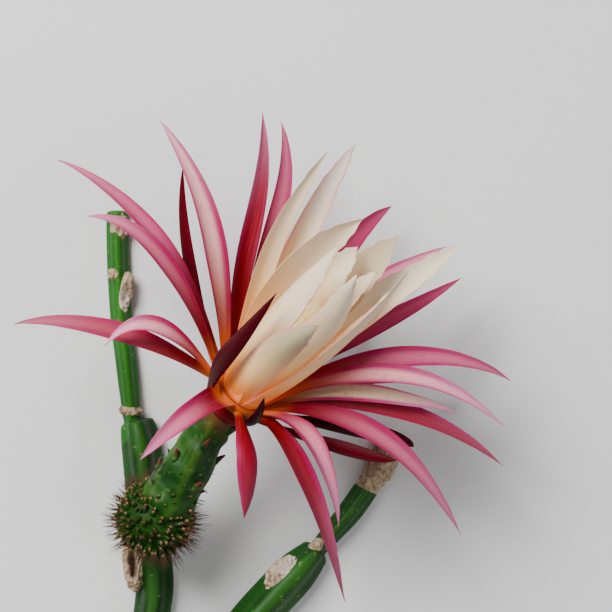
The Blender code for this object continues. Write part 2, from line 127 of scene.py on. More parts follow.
class Surface:
    # a material's shader and the wires that its patterns start from
    def __init__(self, name, roughness, specular=0.5):
        self.material = bpy.data.materials.new(name)
        self.material.use_nodes = True
        self.tree = self.material.node_tree
        self.shader = self.tree.nodes["Principled BSDF"]
        self.shader.inputs["Roughness"].default_value = roughness
        self.shader.inputs["Specular IOR Level"].default_value = specular

    def value(self, name):
        return makeNode(self.tree, "ShaderNodeAttribute", {"attribute_name": name}, {}, 2)

    def place(self):
        return makeNode(self.tree, "ShaderNodeTexCoord", {}, {}, 3)

    def noise(self, where, scale, detail=3.0, roughness=0.55):
        return makeNode(self.tree, "ShaderNodeTexNoise", {},
                        {"Vector": where, "Scale": scale, "Detail": detail, "Roughness": roughness})

    def join(self, x, y, z=0.0):
        return makeNode(self.tree, "ShaderNodeCombineXYZ", {}, {0: x, 1: y, 2: z})

    def colour(self, wire):
        self.tree.links.new(wire.socket, self.shader.inputs["Base Color"])

    def rough(self, wire):
        self.tree.links.new(wire.socket, self.shader.inputs["Roughness"])

    # sends out a colour as a painted glow, on parts that are no lamp
    def paintedGlow(self, wire, strength):
        self.tree.links.new(wire.socket, self.shader.inputs["Emission Color"])
        self.shader.inputs["Emission Strength"].default_value = strength

    def bump(self, height, strength, distance):
        wire = makeNode(self.tree, "ShaderNodeBump", {},
                        {"Strength": strength, "Distance": distance * mm, "Height": height})
        self.tree.links.new(wire.socket, self.shader.inputs["Normal"])


# geometry helpers


def tableObject(name, columns):
    # one point at the origin for each row, with the columns as attributes
    count = len(next(iter(columns.values())))
    mesh = bpy.data.meshes.new(name)
    mesh.from_pydata([(0, 0, 0)] * count, [], [])
    for key, values in columns.items():
        isTriple = hasattr(values[0], "__len__")
        column = mesh.attributes.new(key, "FLOAT_VECTOR" if isTriple else "FLOAT", "POINT")
        flat = np.array([tuple(value) for value in values] if isTriple else values, dtype=np.float32).ravel()
        column.data.foreach_set("vector" if isTriple else "value", flat)
    thing = bpy.data.objects.new(name, mesh)
    bpy.context.scene.collection.objects.link(thing)
    return thing


def geometryTree(name, sizes):
    # an empty tree with a geometry, the named sizes and a material as its inputs
    tree = bpy.data.node_groups.new(name, "GeometryNodeTree")
    tree.interface.new_socket("Geometry", in_out="INPUT", socket_type="NodeSocketGeometry")
    for key, value in sizes.items():
        kind = "NodeSocketInt" if isinstance(value, int) else "NodeSocketFloat"
        socket = tree.interface.new_socket(key, in_out="INPUT", socket_type=kind)
        socket.default_value = value
    tree.interface.new_socket("Material", in_out="INPUT", socket_type="NodeSocketMaterial")
    tree.interface.new_socket("Geometry", in_out="OUTPUT", socket_type="NodeSocketGeometry")
    entry = tree.nodes.new("NodeGroupInput")
    return tree, {socket.name: Wire(tree, socket) for socket in entry.outputs if socket.name}


def finishTree(tree, geometry, material):
    geometry = makeNode(tree, "GeometryNodeRealizeInstances", {}, {0: geometry})
    geometry = makeNode(tree, "GeometryNodeSetShadeSmooth", {}, {0: geometry})
    geometry = makeNode(tree, "GeometryNodeSetMaterial", {}, {"Geometry": geometry, "Material": material})
    leave = tree.nodes.new("NodeGroupOutput")
    tree.links.new(geometry.socket, leave.inputs[0])


def grow(thing, tree, sizes, material):
    # runs a tree on an object and leaves the plain mesh
    modifier = thing.modifiers.new("grow", "NODES")
    modifier.node_group = tree
    for item in tree.interface.items_tree:
        if item.item_type == "SOCKET" and item.in_out == "INPUT":
            value = material if item.name == "Material" else sizes.get(item.name)
            if value is not None:
                modifier[item.identifier] = value
    graph = bpy.context.evaluated_depsgraph_get()
    mesh = bpy.data.meshes.new_from_object(thing.evaluated_get(graph), depsgraph=graph)
    old = thing.data
    thing.modifiers.clear()
    thing.data = mesh
    mesh.name = thing.name
    bpy.data.meshes.remove(old)
    return thing


def named(tree, name, kind="FLOAT"):
    return makeNode(tree, "GeometryNodeInputNamedAttribute", {"data_type": kind}, {0: name})


def keepValue(tree, geometry, name, wire):
    return makeNode(tree, "GeometryNodeStoreNamedAttribute", {"data_type": "FLOAT", "domain": "POINT"},
                    {"Geometry": geometry, "Name": name, "Value": wire})


def bezier(t, root, middle, tip):
    # point and direction on the arc that passes the middle at half length
    handle = middle * 2.0 - (root + tip) * 0.5
    rest = 1.0 - t
    point = root * (rest * rest) + handle * (t * rest * 2.0) + tip * (t * t)
    course = (handle - root) * rest + (tip - handle) * t
    return point, vectors(course, "NORMALIZE")


def bentSticks(tree, sizes):
    # one unit stick for each row: where its points lie on it, and their place and course on the row's arc
    stick = makeNode(tree, "GeometryNodeMeshCylinder", {"fill_type": "TRIANGLE_FAN"}, {
        "Vertices": sizes["Around"], "Side Segments": sizes["Along"], "Radius": 1.0, "Depth": 1.0})
    spread = makeNode(tree, "GeometryNodeInstanceOnPoints", {}, {
        "Points": sizes["Geometry"], "Instance": stick})
    spread = makeNode(tree, "GeometryNodeRealizeInstances", {}, {0: spread})
    x = makeNode(tree, "ShaderNodeSeparateXYZ", {}, {0: makeNode(tree, "GeometryNodeInputPosition")})
    y = Wire(tree, x.socket.node.outputs[1])
    t = Wire(tree, x.socket.node.outputs[2]) + 0.5
    root, middle, tip, sideways = (
        named(tree, key, "FLOAT_VECTOR") for key in ("root", "middle", "tip", "sideways"))
    point, course = bezier(t, root, middle, tip)
    across = vectors(vectors(course, "CROSS_PRODUCT", sideways), "NORMALIZE")
    return spread, (x, y, t), point, course, across


bladeEdge = {
    "tipWidth": 0.05, "biteFine": 52.0, "biteCoarse": 23.0, "biteSkew": 2.0, "biteFrom": (0.62, 0.92),
    "hookFrom": (0.86, 1.08), "waves": 9.0, "waveFrom": (0.2, 0.7), "grooveSharpness": 18.0,
    "tipThickness": 0.35, "thinFrom": (1.0, 0.75),
}


def bladeTree():
    # tepals: a fine closed lens-section sheet bent along each row's arc
    tree, sizes = geometryTree("tepal blades", {
        "Around": 22, "Along": 40, "Thickness": 0.9, "Widest": 0.46, "Taper": 1.7, "Crease": 0.12,
        "Ragged": 0.0, "Channel": 1.0})
    spread, (x, y, t), point, course, face = bentSticks(tree, sizes)
    # a leaning blade turns its face towards the sky as it leaves its root
    lift = makeNode(tree, "ShaderNodeCombineXYZ", {}, {2: named(tree, "lean") * ramp(t, 0.0, 0.5)})
    across = vectors(vectors(face + lift, "CROSS_PRODUCT", course), "NORMALIZE")
    normal = vectors(course, "CROSS_PRODUCT", across)
    claw = named(tree, "claw")
    phase = named(tree, "phase")
    swell = claw + (1.0 - claw) * ramp(t, 0.0, sizes["Widest"])
    past = maths((t - sizes["Widest"]) / (1.0 - sizes["Widest"]), "MAXIMUM", 0.0)
    narrowing = past ** (sizes["Taper"] + named(tree, "blunt"))
    outline = swell * (1.0 - narrowing) + bladeEdge["tipWidth"] * ramp(t, 1.0, 0.9)
    bite = maths(t * bladeEdge["biteFine"] + x * bladeEdge["biteSkew"] + phase * 3.0, "SINE")
    bite = bite * maths(t * bladeEdge["biteCoarse"] + phase, "SINE")
    ragged = sizes["Ragged"] * bite * ramp(t, *bladeEdge["biteFrom"])
    half = named(tree, "width") * 0.5 * outline * (1.0 - ragged)
    sway = named(tree, "sway") * maths(t * math.tau, "SINE")
    point = point + across * (sway + named(tree, "hook") * ramp(t, *bladeEdge["hookFrom"]))
    wave = maths(t * bladeEdge["waves"] + phase, "SINE") * x * x
    wave = wave * named(tree, "wave") * ramp(t, *bladeEdge["waveFrom"])
    groove = maths(x * x * -bladeEdge["grooveSharpness"], "EXPONENT") * sizes["Crease"] * ramp(t, 1.0, 0.7)
    thinning = ramp(t, *bladeEdge["thinFrom"]) * (1.0 - bladeEdge["tipThickness"])
    thick = sizes["Thickness"] * (bladeEdge["tipThickness"] + thinning)
    cup = named(tree, "cupping") * sizes["Channel"] * half * x * x
    height = cup + thick * 0.5 * (y - 1.0) + wave - groove
    for name, wire in (("along", t), ("reach", x), ("inner", y)):
        spread = keepValue(tree, spread, name, wire)
    spread = makeNode(tree, "GeometryNodeSetPosition", {}, {
        "Geometry": spread, "Position": (point + across * (x * half) + normal * height) * mm})
    finishTree(tree, spread, sizes["Material"])
    return tree


def threadTree():
    # filaments, bristles, lobes and scales: round tapered threads bent along each row's arc
    tree, sizes = geometryTree("bent threads", {"Around": 6, "Along": 8, "Belly": 0.0})
    spread, (x, y, t), point, course, across = bentSticks(tree, sizes)
    normal = vectors(course, "CROSS_PRODUCT", across)
    bulge = maths(t * math.pi, "SINE") * sizes["Belly"]
    radius = named(tree, "thick") * (1.0 - t * named(tree, "taper") + bulge)
    spread = keepValue(tree, spread, "along", t)
    spread = makeNode(tree, "GeometryNodeSetPosition", {}, {
        "Geometry": spread, "Position": (point + across * (x * radius) + normal * (y * radius)) * mm})
    finishTree(tree, spread, sizes["Material"])
    return tree


def beadTree():
    # anthers and warts: rounded beads turned to each row's direction
    tree, sizes = geometryTree("turned beads", {"Around": 8, "Rings": 6})
    bead = makeNode(tree, "GeometryNodeMeshUVSphere", {}, {
        "Segments": sizes["Around"], "Rings": sizes["Rings"], "Radius": 1.0})
    turn = makeNode(tree, "FunctionNodeAlignEulerToVector", {"axis": "Z"}, {
        "Vector": named(tree, "aim", "FLOAT_VECTOR")})
    spread = makeNode(tree, "GeometryNodeInstanceOnPoints", {}, {
        "Points": sizes["Geometry"], "Instance": bead, "Rotation": turn,
        "Scale": named(tree, "size", "FLOAT_VECTOR") * mm})
    spread = makeNode(tree, "GeometryNodeTranslateInstances", {}, {
        "Instances": spread, "Translation": named(tree, "spot", "FLOAT_VECTOR") * mm, "Local Space": False})
    finishTree(tree, spread, sizes["Material"])
    return tree


# the flower's own frame

flower = {
    "throat": Vector((40, 89.5, 62)),
    "axis": Vector((0.591, 0.633, 0.5)).normalized(),
    "ovary": Vector((1.5, 34, 33.5)),
    "ovaryRadius": 15.0,
    "ovaryTop": 10.2,
}
throat = flower["throat"]
axis = flower["axis"]


def flowerSide(azimuth):
    # 0 is the side that faces up, 90 the right-hand side, 180 the side towards the floor
    up = (Vector((0, 0, 1)) - axis * axis.z).normalized()
    right = axis.cross(up)
    angle = math.radians(azimuth)
    return up * math.cos(angle) + right * math.sin(angle)


def onFlower(azimuth, radius, height):
    return throat + flowerSide(azimuth) * radius + axis * height


def squareFrame(direction):
    side = direction.cross(Vector((0, 0, 1))).normalized()
    return side, direction.cross(side)


def circle(centre, side, other, radius, count):
    turns = [math.tau * step / count for step in range(count)]
    return [centre + side * (radius * math.cos(turn)) + other * (radius * math.sin(turn)) for turn in turns]


def ringMesh(name, rings, closed=False, material=None):
    # a skin over rings of points: its ends are capped, or joined when it is closed
    sides = len(rings[0])
    mesh = bpy.data.meshes.new(name)
    faces = []
    for row in range(len(rings) if closed else len(rings) - 1):
        here, there = row * sides, ((row + 1) % len(rings)) * sides
        for side in range(sides):
            after = (side + 1) % sides
            faces.append((here + side, here + after, there + after, there + side))
    if not closed:
        faces.append(tuple(reversed(range(sides))))
        faces.append(tuple(range((len(rings) - 1) * sides, len(rings) * sides)))
    mesh.from_pydata([Vector(point) * mm for ring in rings for point in ring], [], faces)
    thing = bpy.data.objects.new(name, mesh)
    bpy.context.scene.collection.objects.link(thing)
    shape = bmesh.new()
    shape.from_mesh(mesh)
    bmesh.ops.recalc_face_normals(shape, faces=shape.faces)
    shape.to_mesh(mesh)
    shape.free()
    mesh.polygons.foreach_set("use_smooth", [True] * len(mesh.polygons))
    if material:
        mesh.materials.append(material)
    return thing


def keepColumn(thing, name, values):
    # one number for each point of a mesh, for its material to read
    column = thing.data.attributes.new(name, "FLOAT", "POINT")
    column.data.foreach_set("value", np.asarray(values, dtype=np.float32))


def joinInto(keeper, others):
    # puts the meshes of the others into the keeper, with its name and place
    with bpy.context.temp_override(active_object=keeper, selected_editable_objects=[keeper, *others]):
        bpy.ops.object.join()
    return keeper


def smoothStep(low, high, value):
    share = min(1.0, max(0.0, (value - low) / (high - low)))
    return share * share * (3 - 2 * share)


# the tepals' rows

# a name, the root's azimuth, the middle and the tip from the throat, and then what rowValues names: pale is
# for the inner face, deep makes rose crimson, and fade is the tip's paleness
rowValues = ("width", "lean", "cupping", "claw", "sway", "pale", "deep", "fade", "wave")
sepalRows = [
    ("nearLeft", -68, (-6.5, 15.5, 28), (15, 41, 50), 8.5, -1.6, 0.2, 0.75, -1.2, 0.0, 1.0, 0.0, 0.0),
    ("nearSpur", 47, (4.5, -12.5, 14), (9.5, -1.5, 34), 4.8, -0.8, 0.25, 0.7, 0.0, 0.0, 1.6, 0.0, 0.0),
    ("left", -118, (-23, 53, -12), (-26, 96, -24), 6.0, 0.5, 0.2, 0.6, 0.0, 0.0, 0.3, 0.0, 0.0),
    ("right", 88, (44, -25, 12), (64, -28, 18), 8.0, 0.4, 0.25, 0.4, 0.0, 0.0, 0.8, 0.0, 0.0),
    ("rightLow", 112, (54, -18, -6), (72, -24, -8), 8.0, 0.6, 0.2, 0.4, 0.0, 0.0, 1.1, 0.0, 0.0),
    ("underRight", 142, (33, -4, -28), (52, 2, -52), 8.0, 0.0, 0.2, 0.4, 0.0, 0.0, 0.8, 0.0, 0.0),
    ("under", 178, (17, 17, -34), (32, 30, -60.5), 8.5, 0.0, 0.2, 0.4, 0.0, 0.0, 0.9, 0.0, 0.0),
    ("underLeft", -146, (0, 32, -28), (6, 52, -54), 8.0, 0.0, 0.2, 0.4, 0.0, 0.0, 0.8, 0.0, 0.0),
]
outerRows = [
    ("leftLong", -78, (-53, 25, 10), (-97, 28, -10), 10.0, 0.5, 0.18, 0.55, 0.0, 0.15, 0.9, 0.3, 0.5),
    ("leftCurled", -66, (-35, 27, 19), (-57, 19, 18), 8.5, 0.5, 0.22, 0.45, 0.0, 0.85, 0.3, 0.7, 0.3),
    ("leftHigh", -93, (-36, 64, 4), (-78, 97, -6), 8.5, 0.6, 0.22, 0.6, 0.0, 0.3, 0.4, 0.3, 0.4),
    ("leftMiddle", -85, (-34, 56, 14), (-65, 73, 10), 8.5, 0.6, 0.22, 0.6, 0.0, 0.35, 0.6, 0.5, 0.4),
    ("topBroad", -104, (-13, 65, 12), (-35, 114, 4), 10.5, 0.9, 0.22, 0.55, 0.6, 0.95, 0.3, 0.5, 0.4),
    ("topLeft", -131, (3, 67, -4), (8, 118, -17), 8.8, 0.6, 0.25, 0.6, 2.2, 0.0, 1.2, 0.45, 0.3),
    ("topRight", -143, (13, 70, -12), (16, 115, -30), 8.5, 0.6, 0.22, 0.6, 1.6, 0.3, 0.4, 0.2, 0.3),
    ("farLeft", -166, (17, 48, -32), (26, 66, -59.5), 10.5, 0.2, 0.2, 0.55, 0.0, 0.4, 0.5, 0.3, 0.3),
    ("far", -178, (37, 51, -20), (64, 79, -42), 10.0, 0.5, 0.2, 0.55, -1.0, 0.1, 0.5, 0.1, 0.3),
    ("farDown", 172, (30, 33, -36), (54, 56, -59.5), 10.5, 0.0, 0.2, 0.55, 0.0, 0.4, 0.5, 0.3, 0.3),
    ("farPale", 162, (44, 38, -12), (87, 61, -28), 9.0, 0.5, 0.2, 0.55, 0.8, 0.8, 0.0, 0.4, 0.3),
    ("farRight", 154, (52, 25, -16), (94, 48, -37), 8.5, 0.5, 0.2, 0.55, 0.8, 0.1, 0.5, 0.1, 0.3),
    ("lowRight", 134, (56, 6, -22), (92, -2, -50), 10.5, 0.2, 0.2, 0.55, 0.0, 0.4, 0.6, 0.3, 0.3),
    ("rightHigh", 126, (66, 14, 8), (112.9, 4, -10), 9.5, 0.6, 0.2, 0.6, 0.0, 0.35, 0.3, 0.2, 0.4),
    ("rightPale", 112, (62, 7, 14), (110, -15, 0), 9.0, 0.6, 0.2, 0.6, 0.0, 0.88, 0.1, 0.9, 0.4),
    ("rightCream", 119, (52, -1, 5), (90, -9, -4), 8.5, 0.6, 0.15, 0.6, 0.8, 1.5, 0.0, 1.0, 0.3),
    ("rightRed", 106, (60, -7, 1.5), (110, -32, -12), 9.5, 0.6, 0.22, 0.6, 0.0, 0.05, 1.2, 0.2, 0.6),
    ("rightDown", 96, (55, -18, 12), (92, -61, -4), 10.5, 0.6, 0.22, 0.55, 0.0, 0.35, 0.6, 0.5, 0.4),
    ("downPale", 74, (29, -20, 26), (40, -55, 22), 10.0, 0.3, 0.22, 0.5, 0.6, 0.75, 0.3, 0.7, 0.3),
    ("downLong", 84, (26, -35, 20), (43, -88, 4), 10.0, 0.5, 0.2, 0.55, 0.6, 0.05, 1.3, 0.35, 0.5),
    ("downShort", 26, (3, -25, 30), (1, -52, 22), 8.8, 0.3, -0.22, 0.45, 0.0, 0.0, 1.3, 0.1, 0.5),
    ("nearReflexed", -24, (-22, -9.5, 27), (-42, -28, 22), 9.0, 0.2, 0.25, 1.25, 0.0, 0.35, 0.3, 0.5, 0.3),
]
innerRows = [
    ("leftSlim", -128, (9.5, 53, 4), (36, 101, -4), 9.5, 0.4, 0.22, 0.9, -0.8, 1.0, 0.0, 0.2, 0.3),
    ("topPale", -152, (24, 63, -6), (48, 105, -20), 11.0, 0.5, 0.22, 0.7, 0.0, 1.0, 0.5, 1.0, 0.4),
    ("leftBroad", -138, (17.5, 42.5, 9), (49, 73, 10), 21.0, 0.3, 0.22, 0.75, 0.0, 1.0, 0.0, 0.4, 0.8),
    ("frontLeft", -54, (11.5, 30, 28), (40, 60, 40), 21.0, 0.1, 0.26, 0.95, 0.0, 1.0, 0.0, 0.5, 0.6),
    ("farBroad", 172, (37, 38, 4), (66, 64, 8), 19.0, 0.8, 0.22, 0.75, 0.0, 0.35, 0.0, 0.0, 0.6),
    ("frontSlim", 50, (30.5, 19.5, 32), (47, 48, 50), 18.0, 0.0, 0.26, 1.0, 0.0, 1.0, 0.0, 0.4, 0.6),
    ("frontShort", -4, (11.5, 14.2, 38), (32, 28, 60), 13.5, 0.0, 0.3, 0.95, 0.0, 0.0, 0.3, 0.0, 0.6),
    ("rightBroad", 82, (39.5, 17.5, 21), (68, 49, 26), 20.0, 0.2, 0.24, 0.95, 0.0, 1.0, 0.1, 0.3, 0.8),
    ("farLong", 152, (46, 30, 0), (94, 62, -6), 14.0, 0.5, 0.2, 0.7, 0.0, 1.0, 0.0, 0.6, 0.5),
    ("heartBack", -176, (29, 39, 12), (48, 60, 16), 15.0, 0.0, 0.24, 0.75, 0.0, 1.0, 0.0, 0.5, 0.4),
    ("heartFar", 128, (35, 29, 13), (56, 49, 20), 15.0, 0.1, 0.26, 0.75, 0.0, 1.0, 0.0, 0.5, 0.4),
]

# how much lower a tepal is rooted, how much rounder its tip is, and how far its tip turns to one side
rootDrop = {"nearLeft": 4.2}
blunt = {"downShort": 1.0, "nearSpur": 0.6}
hook = {
    "leftBroad": -2.4, "farBroad": 1.8, "rightBroad": 1.8, "heartFar": 1.2, "rightCream": -1.4,
    "farLong": 1.2,
}


def tepalTable(name, whorl):
    tepals = [{
        "root": onFlower(azimuth, whorl["rootRadius"], whorl["rootHeight"] - rootDrop.get(label, 0.0)),
        "middle": throat + Vector(middle),
        "tip": throat + Vector(tip),
        "sideways": axis.cross(flowerSide(azimuth)),
        "phase": number * 2.4,
        "blunt": blunt.get(label, 0.0),
        "hook": hook.get(label, 0.0),
        **dict(zip(rowValues, values)),
    } for number, (label, azimuth, middle, tip, *values) in enumerate(whorl["rows"])]
    return tableObject(name, {key: [each[key] for each in tepals] for key in tepals[0]})


def ringOf(name, profile, sides, material):
    rings = [[onFlower(360 * step / sides, r, h) for r, h in profile] for step in range(sides)]
    return ringMesh(name, rings, closed=True, material=material)


# materials

crimson = (0.23, 0.0001, 0.012)
bloodRed = (0.19, 0.0002, 0.0010)
magenta = (0.34, 0.0012, 0.090)
rose = (0.41, 0.008, 0.115)
blush = (0.79, 0.24, 0.345)
cream = (0.84, 0.64, 0.40)
ivory = (0.87, 0.77, 0.61)
peach = (0.90, 0.50, 0.15)
orange = (0.88, 0.22, 0.012)
maroon = (0.026, 0.0002, 0.002)
wine = (0.13, 0.0006, 0.007)
plum = (0.05, 0.001, 0.016)
ember = (0.28, 0.010, 0.003)
soot = (0.015, 0.0003, 0.002)
lilac = (0.73, 0.27, 0.48)
ruby = (0.24, 0.001, 0.03)
shell = (0.84, 0.60, 0.60)
khaki = (0.40, 0.34, 0.20)
coral = (0.80, 0.28, 0.30)
sand = (0.62, 0.42, 0.22)
chalk = (0.92, 0.88, 0.80)


def petalVeins(surface):
    # fine lengthwise lines that follow each tepal, ripples across it and a grain of small cells
    along = surface.value("along")
    reach = surface.value("reach")
    phase = surface.value("phase")
    fine = surface.noise(surface.join(reach * 16.0, along * 1.6, phase), 1.6, 4.0, 0.65)
    ripple = surface.noise(surface.join(reach * 2.0, along * 30.0, phase), 1.3, 2.0)
    cells = surface.noise(surface.place(), 1400.0, 2.0)
    # one flank is darker than the other, and which one differs from tepal to tepal
    flank = ramp(reach * maths(phase * 1.7, "SINE"), -0.9, 0.9)
    return along, maths(reach, "ABSOLUTE"), fine, ripple, cells, flank


def outerMaterial():
    surface = Surface("roseTepals", 0.45, 0.12)
    along, edge, fine, ripple, cells, flank = petalVeins(surface)
    pale, deep, fade = (surface.value(name) for name in ("pale", "deep", "fade"))
    inner = ramp(surface.value("inner"), -0.25, 0.35)
    stray = (fine - 0.5) * 0.7 + (flank - 0.5) * 0.45 + (cells - 0.5) * 0.3
    surface.colour(layers(
        blend(deep + stray, rose, crimson),
        (ramp(edge + stray, 0.95, 0.15) * pale * (0.3 + 0.7 * inner) * ramp(along, 0.05, 0.4) * 1.15, blush),
        ((pale - 0.78) * 2.6 * ramp(edge + stray * 0.6, 0.85, 0.2) * inner * 0.8, cream),
        (ramp(edge + stray * 0.5, 0.5, 0.98) * 0.8 * maths(1.35 - pale, "MINIMUM", 1.0), magenta),
        (ramp(along + stray * 0.3, 0.5, 0.98) * fade * 0.75, lilac),
        (ramp(along + stray * 0.2, 0.56, 0.14) * (1.0 - pale * 0.4), bloodRed),
        (ramp(along, 0.11 + pale * 0.14, 0.0) * 0.85, orange),
        (ramp(ripple, 0.5, 0.8) * 0.22, ruby),
        (ramp(fine, 0.46, 0.26) * 0.22, blush)))
    surface.rough(0.40 + fine * 0.18)
    surface.bump(fine * 0.7 + ripple * 0.5 + cells * 0.35, 0.35, 0.22)
    return surface.material


def innerMaterial():
    surface = Surface("creamTepals", 0.5, 0.22)
    along, edge, fine, ripple, cells, flank = petalVeins(surface)
    pale, deep, fade = (surface.value(name) for name in ("pale", "deep", "fade"))
    stray = (fine - 0.5) * 0.5 + (flank - 0.5) * 0.3
    body = layers(
        blend(fade + stray * 0.5, cream, ivory),
        (deep * 0.8 * ramp(along, 0.4, 0.8), shell),
        ((1.0 - pale) * 0.95 * ramp(along, 0.25, 0.6), khaki),
        (ramp(along + stray * 0.3, 0.80, 0.20) * 0.88, peach),
        (ramp(along + stray * 0.15, 0.34, 0.06), orange),
        (ramp(edge + deep * 0.3, 0.74, 1.0) * (0.14 + deep), coral),
        (ramp(fine, 0.45, 0.72) * 0.32, sand),
        (ramp(fine, 0.46, 0.28) * 0.35, chalk))
    surface.colour(body)
    # a painted glow stands in for the light that comes through the thin lower half
    surface.paintedGlow(blend(ramp(along + stray * 0.3, 0.75, 0.1), (0.0, 0.0, 0.0), body), 0.26)
    surface.rough(0.44 + fine * 0.16)
    surface.bump(fine * 1.2 + ripple * 0.3 + cells * 0.3, 0.5, 0.3)
    return surface.material


def sepalMaterial():
    surface = Surface("maroonSepals", 0.45, 0.08)
    along, edge, fine, ripple, cells, flank = petalVeins(surface)
    surface.colour(layers(
        blend((1.25 - surface.value("deep")) * 0.9, maroon, wine),
        (ramp(edge, 0.5, 1.0) * 0.25, plum),
        (ramp(along, 0.10, 0.0) * 0.5, ember),
        (ramp(fine, 0.4, 0.8) * 0.35, soot)))
    surface.rough(0.38 + fine * 0.16)
    surface.bump(fine * 0.8 + ripple * 0.4 + cells * 0.2, 0.3, 0.22)
    return surface.material


stemTone = {
    "dark": (0.001, 0.022, 0.001), "green": (0.005, 0.062, 0.002), "young": (0.012, 0.150, 0.003),
    "crest": (0.045, 0.180, 0.012), "speck": (0.20, 0.34, 0.08), "bark": (0.20, 0.125, 0.07),
    "dryBark": (0.50, 0.38, 0.25), "greyBark": (0.66, 0.58, 0.48), "hollow": (0.030, 0.012, 0.006),
}


def stemMaterial():
    # green skin, paler on the rib crests, with cork where the attribute says
    surface = Surface("stemSkin", 0.5, 0.2)
    where = surface.place()
    crest, young, cork, hollow = (surface.value(name) for name in ("crest", "young", "cork", "hollow"))
    cloud = surface.noise(where, 55.0, 4.0)
    speck = surface.noise(where, 420.0, 2.0)
    grain = surface.noise(where * Vector((1.0, 0.35, 1.0)), 700.0, 5.0, 0.65)
    skin = layers(
        blend(ramp(cloud, 0.3, 0.7), stemTone["dark"], stemTone["green"]),
        (young * (0.3 + 0.6 * cloud), stemTone["young"]),
        (ramp(crest + (cloud - 0.5) * 0.6, 0.35, 1.0) * 0.28, stemTone["crest"]),
        (ramp(speck, 0.64, 0.72) * 0.45, stemTone["speck"]))
    bark = layers(
        blend(ramp(grain, 0.35, 0.65), stemTone["bark"], stemTone["dryBark"]),
        (ramp(cloud, 0.50, 0.66) * 0.75, stemTone["greyBark"]),
        (hollow * (0.5 + 1.3 * grain), stemTone["hollow"]))
    edge = ramp(cork + (grain - 0.5) * 0.35, 0.42, 0.58)
    surface.colour(blend(edge, skin, bark))
    surface.rough(0.44 + edge * 0.36 + cloud * 0.12)
    surface.bump(cloud * 0.6 + grain * edge * 1.4 + speck * 0.15, 0.5, 0.35)
    return surface.material


wartTone = {
    "dark": (0.003, 0.024, 0.001), "green": (0.014, 0.060, 0.003), "fleck": (0.055, 0.085, 0.013),
    "tip": (0.085, 0.030, 0.016), "dryTip": (0.30, 0.17, 0.09),
}


def wartMaterial():
    surface = Surface("ovarySkin", 0.55, 0.12)
    where = surface.place()
    cloud = surface.noise(where, 160.0, 3.0)
    dry = ramp(surface.noise(where, 75.0, 2.0), 0.36, 0.56)
    surface.colour(layers(
        blend(ramp(cloud, 0.35, 0.65), wartTone["dark"], wartTone["green"]),
        (ramp(surface.noise(where, 420.0, 2.0), 0.5, 0.75) * 0.5, wartTone["fleck"]),
        (surface.value("tipped"), blend(dry, wartTone["tip"], wartTone["dryTip"]))))
    surface.rough(0.45 + cloud * 0.25)
    surface.bump(cloud, 0.4, 0.2)
    return surface.material


def threadMaterial(name, foot, top, roughness, paintedGlow=0.0):
    surface = Surface(name, roughness, 0.2)
    fleck = surface.noise(surface.place(), 500.0, 2.0)
    body = layers(
        blend(ramp(surface.value("along"), 0.1, 0.9), foot, top),
        (ramp(fleck, 0.45, 0.75) * 0.3, tuple(part * 0.6 for part in top)))
    surface.colour(body)
    # a painted glow, for threads that sit in the shade of the cup
    if paintedGlow:
        surface.paintedGlow(body, paintedGlow)
    return surface.material


def antherMaterial():
    surface = Surface("antherDust", 0.8, 0.1)
    dust = surface.noise(surface.place(), 1800.0, 3.0)
    body = blend(ramp(dust, 0.35, 0.65), (0.88, 0.62, 0.20), (0.95, 0.84, 0.50))
    surface.colour(body)
    # a painted glow keeps the anthers bright in the shade of the cup
    surface.paintedGlow(body, 0.6)
    surface.bump(dust, 0.5, 0.1)
    return surface.material


tubeTone = {
    "dark": (0.002, 0.030, 0.001), "green": (0.007, 0.070, 0.002), "ridge": (0.070, 0.150, 0.012),
    "streak": (0.100, 0.180, 0.025), "fleck": (0.120, 0.200, 0.040), "flush": (0.130, 0.020, 0.010),
    "scaleTip": (0.13, 0.012, 0.016),
}


def tubeMaterial():
    surface = Surface("tubeSkin", 0.4, 0.2)
    where = surface.place()
    along, ridge, turn, tipped = (surface.value(name) for name in ("along", "ridge", "turn", "tipped"))
    cloud = surface.noise(where, 70.0, 4.0)
    streak = surface.noise(surface.join(turn * 6.0, along * 1.2), 2.2, 3.0)
    surface.colour(layers(
        blend(ramp(cloud, 0.3, 0.7), tubeTone["dark"], tubeTone["green"]),
        (ramp(ridge + (cloud - 0.5) * 3.0, 0.2, 1.3) * 0.4, tubeTone["ridge"]),
        (ramp(streak, 0.5, 0.75) * 0.3, tubeTone["streak"]),
        (ramp(surface.noise(where, 240.0, 3.0), 0.55, 0.75) * 0.5, tubeTone["fleck"]),
        (ramp(along + (cloud - 0.5) * 0.5, 0.7, 1.05) * 0.65, tubeTone["flush"]),
        (tipped, tubeTone["scaleTip"])))
    surface.rough(0.42 + cloud * 0.16)
    surface.bump(cloud + streak * 0.5, 0.5, 0.5)
    return surface.material


# tepals

tepal = {
    "around": 24, "along": 44, "thickness": 0.9, "channel": 1.7, "ringSides": 64, "ringShade": 0.06,
}
# a ring's profile is in radius and height on the flower's axis
whorls = {
    "sepalWhorl": {
        "rows": sepalRows, "rootRadius": 9.6, "rootHeight": -7.4, "taper": 1.7, "ragged": 0.0,
        "ring": [(8.5, -12.6), (9.6, -12.2), (10.6, -9.2), (10.6, -5.6), (8.5, -5.6)]},
    "outerTepalWhorl": {
        "rows": outerRows, "rootRadius": 10.0, "rootHeight": -3.0, "taper": 1.7, "ragged": 0.05,
        "ring": [(8.5, -5.2), (11.4, -4.8), (11.0, -1.0), (8.5, -1.0)]},
    "innerTepalWhorl": {
        "rows": innerRows, "rootRadius": 8.7, "rootHeight": 0.3, "taper": 2.1, "ragged": 0.2,
        "ring": [(5.4, -1.7), (8.2, -1.7), (8.2, -0.7), (9.4, -0.7), (8.8, 2.4), (5.4, 2.4)]},
}


